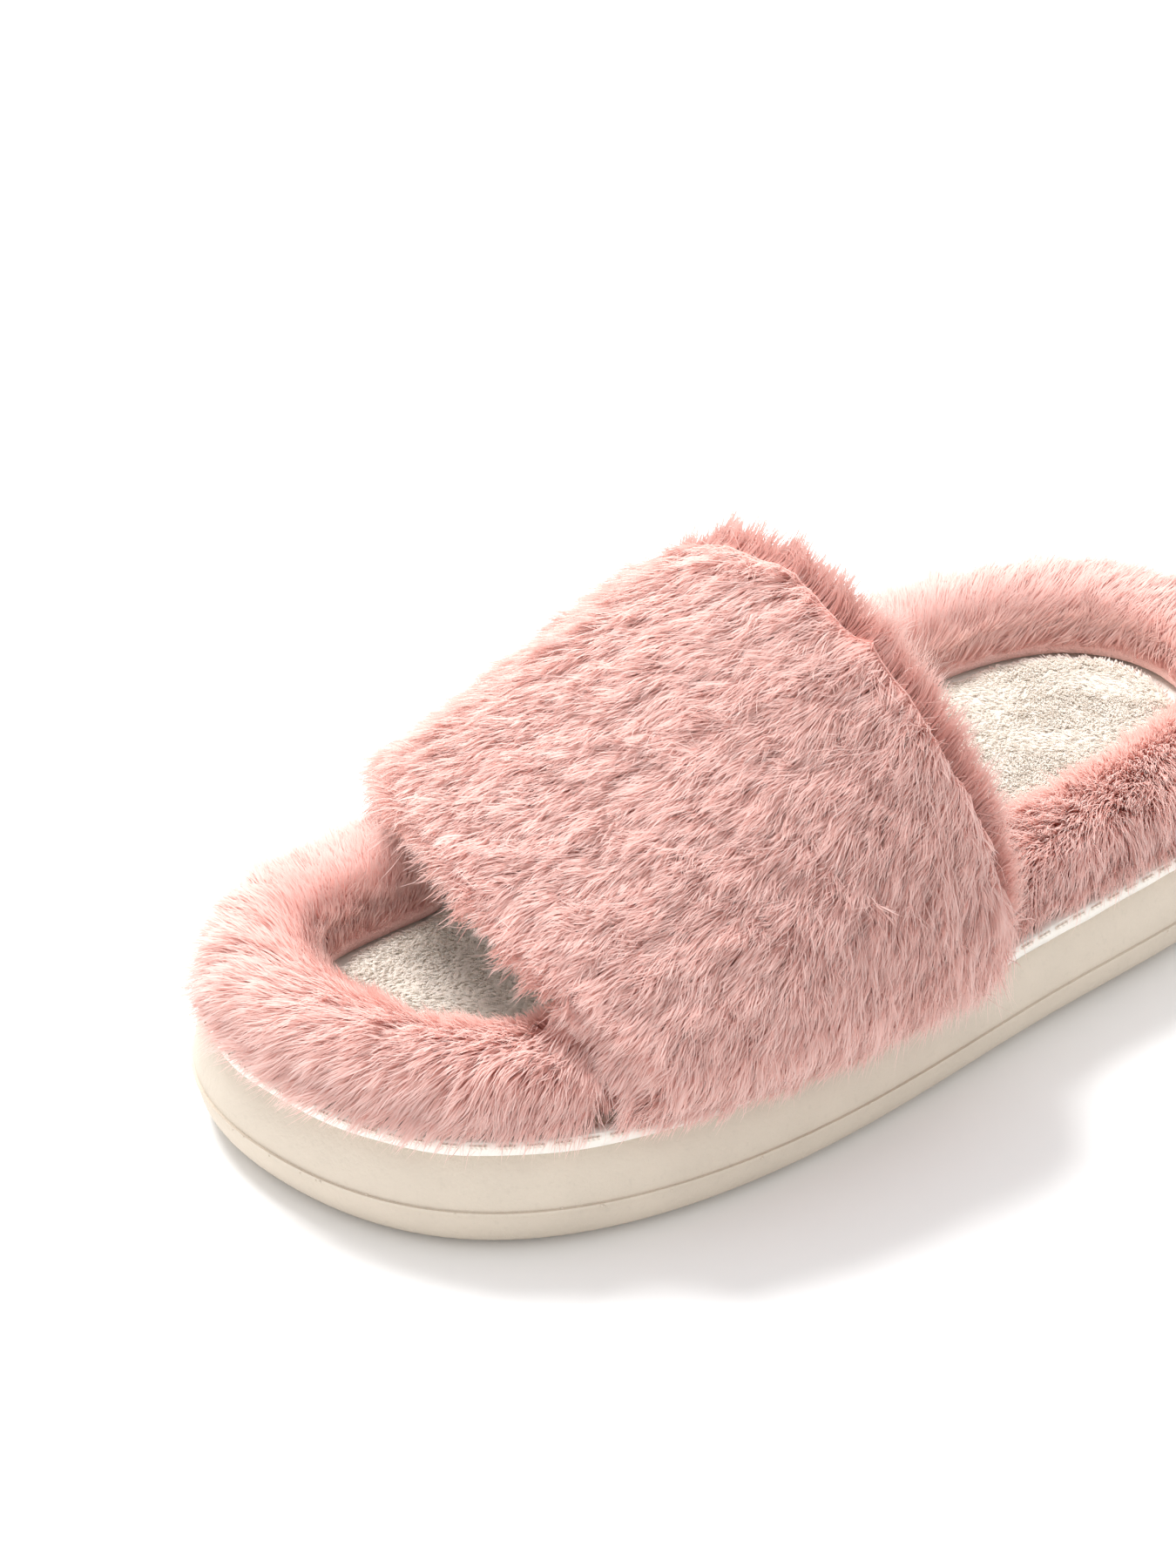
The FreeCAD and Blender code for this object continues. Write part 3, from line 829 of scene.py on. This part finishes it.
class SLIPPER_OT_footbed(bpy.types.Operator):
    """Build the plush footbed cushion with its short cream pile"""
    bl_idname = "slipper.footbed"
    bl_label = "Footbed"

    def execute(self, context):
        plush = settings()[1]
        rng = np.random.default_rng(SEED + 1)
        bed = stuffed("footbed_plush_cover", "footbed_plush", 2.0 * MM, 4.0, 0.6 * MM)
        facing = normals_of(bed.data)
        free = openness(bed, 1.2 * MM, "footbed_plush_cover") * (facing[:, 2] > 0.1)
        sunk = points_of(bed.data)
        sunk[:, 2] -= spread_weight(bed.data, free, 3) * 0.7 * MM
        set_points(bed.data, sunk)
        roots, normals = roots_on(bed.data, free, plush.density / MM ** 2, rng)
        way = tangent(np.array([0.3, -1.0, 0.0]) + wander(roots, 26 * MM, SEED + 3) * 0.5, normals)
        groom = {"rng": rng, "seed": SEED + 6, "rise": 0.55, "lift": 0.12, "wave": 0.09, "stray": 0.06,
                 "spacing": 1.6 * MM, "pull": 0.12}
        size = plush.pile * rng.uniform(0.8, 1.12, len(roots))
        low = np.full(len(roots), FOOTBED_TOP - 3 * MM)
        piles = []
        for title, mine in (("toe", roots[:, 1] < BED_SPLIT), ("heel", roots[:, 1] >= BED_SPLIT)):
            parts = (rows[mine] for rows in (roots, normals, way, size, low))
            tufts = coat(f"footbed_pile_{title}", *parts, groom, 0.5 * MM, 0.04, PLUSH_EVENNESS)
            piles.append(give(tufts, bpy.data.materials["cream_plush"]))
        give(bed, bpy.data.materials["cream_underplush"])
        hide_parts("footbed_plush_cover")
        ride([bed, *piles])
        return {"FINISHED"}


class SLIPPER_OT_lining(bpy.types.Operator):
    """Build the band's plush lining"""
    bl_idname = "slipper.lining"
    bl_label = "Band lining"

    def execute(self, context):
        plush = settings()[1]
        rng = np.random.default_rng(SEED + 2)
        lining = merged_copy("band_lining", "band_lining_plush")
        fine = lining.modifiers.new("fine", "REMESH")
        fine.mode = "VOXEL"
        fine.voxel_size = 1.2 * MM
        ease = lining.modifiers.new("ease", "SMOOTH")
        ease.factor = 0.5
        ease.iterations = 3
        smooth(apply_modifiers(lining))
        facing = normals_of(lining.data)
        free = openness(lining, 5 * MM, "band_lining") * (facing[:, 2] < 0.3)
        roots, normals = roots_on(lining.data, free, 1.3 / MM ** 2, rng)
        way = tangent(np.array([0.0, -1.0, -0.2]) + wander(roots, 20 * MM, SEED + 8) * 0.6, normals)
        groom = {"rng": rng, "seed": SEED + 12, "rise": 0.6, "lift": 0.25, "wave": 0.5, "stray": 0.25,
                 "spacing": 2.0 * MM, "pull": 0.3}
        size = plush.pile * 0.8 * rng.uniform(0.75, 1.15, len(roots))
        low = np.full(len(roots), FOOTBED_TOP)
        tufts = coat("band_lining_pile", roots, normals, way, size, low, groom, 0.5 * MM, 0.0)
        give(tufts, bpy.data.materials["cream_plush"])
        give(lining, bpy.data.materials["cream_underplush"])
        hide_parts("band_lining")
        ride([lining, tufts])
        return {"FINISHED"}


class SLIPPER_OT_band(bpy.types.Operator):
    """Build the fur band over the instep"""
    bl_idname = "slipper.band"
    bl_label = "Fur band"

    def execute(self, context):
        fur = settings()[0]
        low, high = (Vector(corner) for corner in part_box("band_fur_cover"))
        centre = (low + high) / 2
        pieces = fur_cover("band_fur_cover", "band_fur", centre, comb_band, FUR_COATS, fur.band_density,
                           fur.band_length, reach_band)
        ride(pieces)
        return {"FINISHED"}


class SLIPPER_OT_toe_rim(bpy.types.Operator):
    """Build the fur rim round the toes"""
    bl_idname = "slipper.toe_rim"
    bl_label = "Toe rim"

    def execute(self, context):
        fur = settings()[0]
        low, high = (Vector(corner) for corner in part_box("toe_rim_fur_cover"))
        centre = Vector(((low.x + high.x) / 2, high.y - 16 * MM, 0.0))
        pieces = fur_cover("toe_rim_fur_cover", "toe_rim_fur", centre, comb_rim(centre, 0.1), FUR_COATS,
                           fur.rim_density, fur.rim_length, reach_rim(centre, 0.62))
        ride(pieces)
        return {"FINISHED"}


class SLIPPER_OT_heel_rim(bpy.types.Operator):
    """Build the fur rim round the heel"""
    bl_idname = "slipper.heel_rim"
    bl_label = "Heel rim"

    def execute(self, context):
        fur = settings()[0]
        low, high = (Vector(corner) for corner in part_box("heel_rim_fur_cover"))
        centre = Vector(((low.x + high.x) / 2, high.y - 60 * MM, 0.0))
        pieces = fur_cover("heel_rim_fur_cover", "heel_rim_fur", centre, comb_rim(centre, -0.1), FUR_COATS,
                           fur.rim_density, fur.rim_length, reach_rim(centre, 0.8))
        ride(pieces)
        return {"FINISHED"}


def area_light(name, place, power, size):
    lamp = bpy.data.lights.new(name, "AREA")
    lamp.energy = power
    lamp.shape = "DISK"
    lamp.size = size
    light = bpy.data.objects.new(name, lamp)
    light.location = place
    light.rotation_euler = (Vector(LIGHT_AIM) - Vector(place)).to_track_quat("-Z", "Y").to_euler()
    bpy.context.scene.collection.objects.link(light)


class SLIPPER_OT_stage(bpy.types.Operator):
    """Make the plain floor, the soft light and the camera"""
    bl_idname = "slipper.stage"
    bl_label = "Floor, light and camera"

    def execute(self, context):
        stage = settings()[3]
        scene = context.scene
        bm = bmesh.new()
        bmesh.ops.create_grid(bm, x_segments=1, y_segments=1, size=4.0)
        mesh = bpy.data.meshes.new("studio_floor")
        bm.to_mesh(mesh)
        bm.free()
        floor = new_object("studio_floor", mesh)
        fin = Finish("studio_floor")
        give(floor, fin.shade(Base_Color=tuple(stage.floor), Roughness=0.9, Specular_IOR_Level=0.1))
        world = bpy.data.worlds.new("studio")
        world.use_nodes = True
        world.node_tree.nodes["Background"].inputs["Color"].default_value = (1.0, 1.0, 1.0, 1.0)
        world.node_tree.nodes["Background"].inputs["Strength"].default_value = stage.sky
        scene.world = world
        area_light("key_light", KEY_PLACE, stage.key_power, 0.55)
        area_light("fill_light", FILL_PLACE, stage.fill_power, 0.8)
        scene.view_settings.view_transform = "Standard"
        self.camera(scene, stage)
        return {"FINISHED"}

    def camera(self, scene, stage):
        data = bpy.data.cameras.new("camera")
        data.lens = stage.lens
        data.sensor_width = 36.0
        data.clip_start = 0.01
        data.clip_end = 20.0
        camera = bpy.data.objects.new("camera", data)
        flat = math.cos(stage.elevation)
        away = Vector((math.sin(stage.azimuth) * flat, -math.cos(stage.azimuth) * flat,
                       math.sin(stage.elevation)))
        camera.location = away * stage.distance + CAMERA_SHIFT
        look = (CAMERA_AIM - camera.location).to_track_quat("-Z", "Y")
        camera.rotation_mode = "QUATERNION"
        camera.rotation_quaternion = look @ Quaternion((0.0, 0.0, 1.0), stage.roll)
        scene.collection.objects.link(camera)
        scene.camera = camera


STEPS = ("finishes", "sole", "sewing", "footbed", "lining", "band", "toe_rim", "heel_rim", "stage")


class SLIPPER_PT_panel(bpy.types.Panel):
    """The slipper's pieces and their settings"""
    bl_label = "Slipper"
    bl_idname = "SLIPPER_PT_panel"
    bl_space_type = "VIEW_3D"
    bl_region_type = "UI"
    bl_category = "Slipper"

    def draw(self, context):
        for step in STEPS:
            self.layout.operator(f"slipper.{step}")
        for group in settings():
            box = self.layout.box()
            for key in group.__annotations__:
                box.prop(group, key)


GROUPS = {"slipper_fur": SlipperFur, "slipper_plush": SlipperPlush, "slipper_sole": SlipperSole,
          "slipper_stage": SlipperStage}
CLASSES = (*GROUPS.values(), SLIPPER_OT_finishes, SLIPPER_OT_sole, SLIPPER_OT_sewing, SLIPPER_OT_footbed,
           SLIPPER_OT_lining, SLIPPER_OT_band, SLIPPER_OT_toe_rim, SLIPPER_OT_heel_rim, SLIPPER_OT_stage,
           SLIPPER_PT_panel)


def register():
    for each in CLASSES:
        bpy.utils.register_class(each)
    for key, group in GROUPS.items():
        setattr(bpy.types.Scene, key, bpy.props.PointerProperty(type=group))


def unregister():
    for key in GROUPS:
        delattr(bpy.types.Scene, key)
    for each in reversed(CLASSES):
        bpy.utils.unregister_class(each)


def main():
    register()
    for step in STEPS:
        getattr(bpy.ops.slipper, step)()


if __name__ == "__main__":
    main()
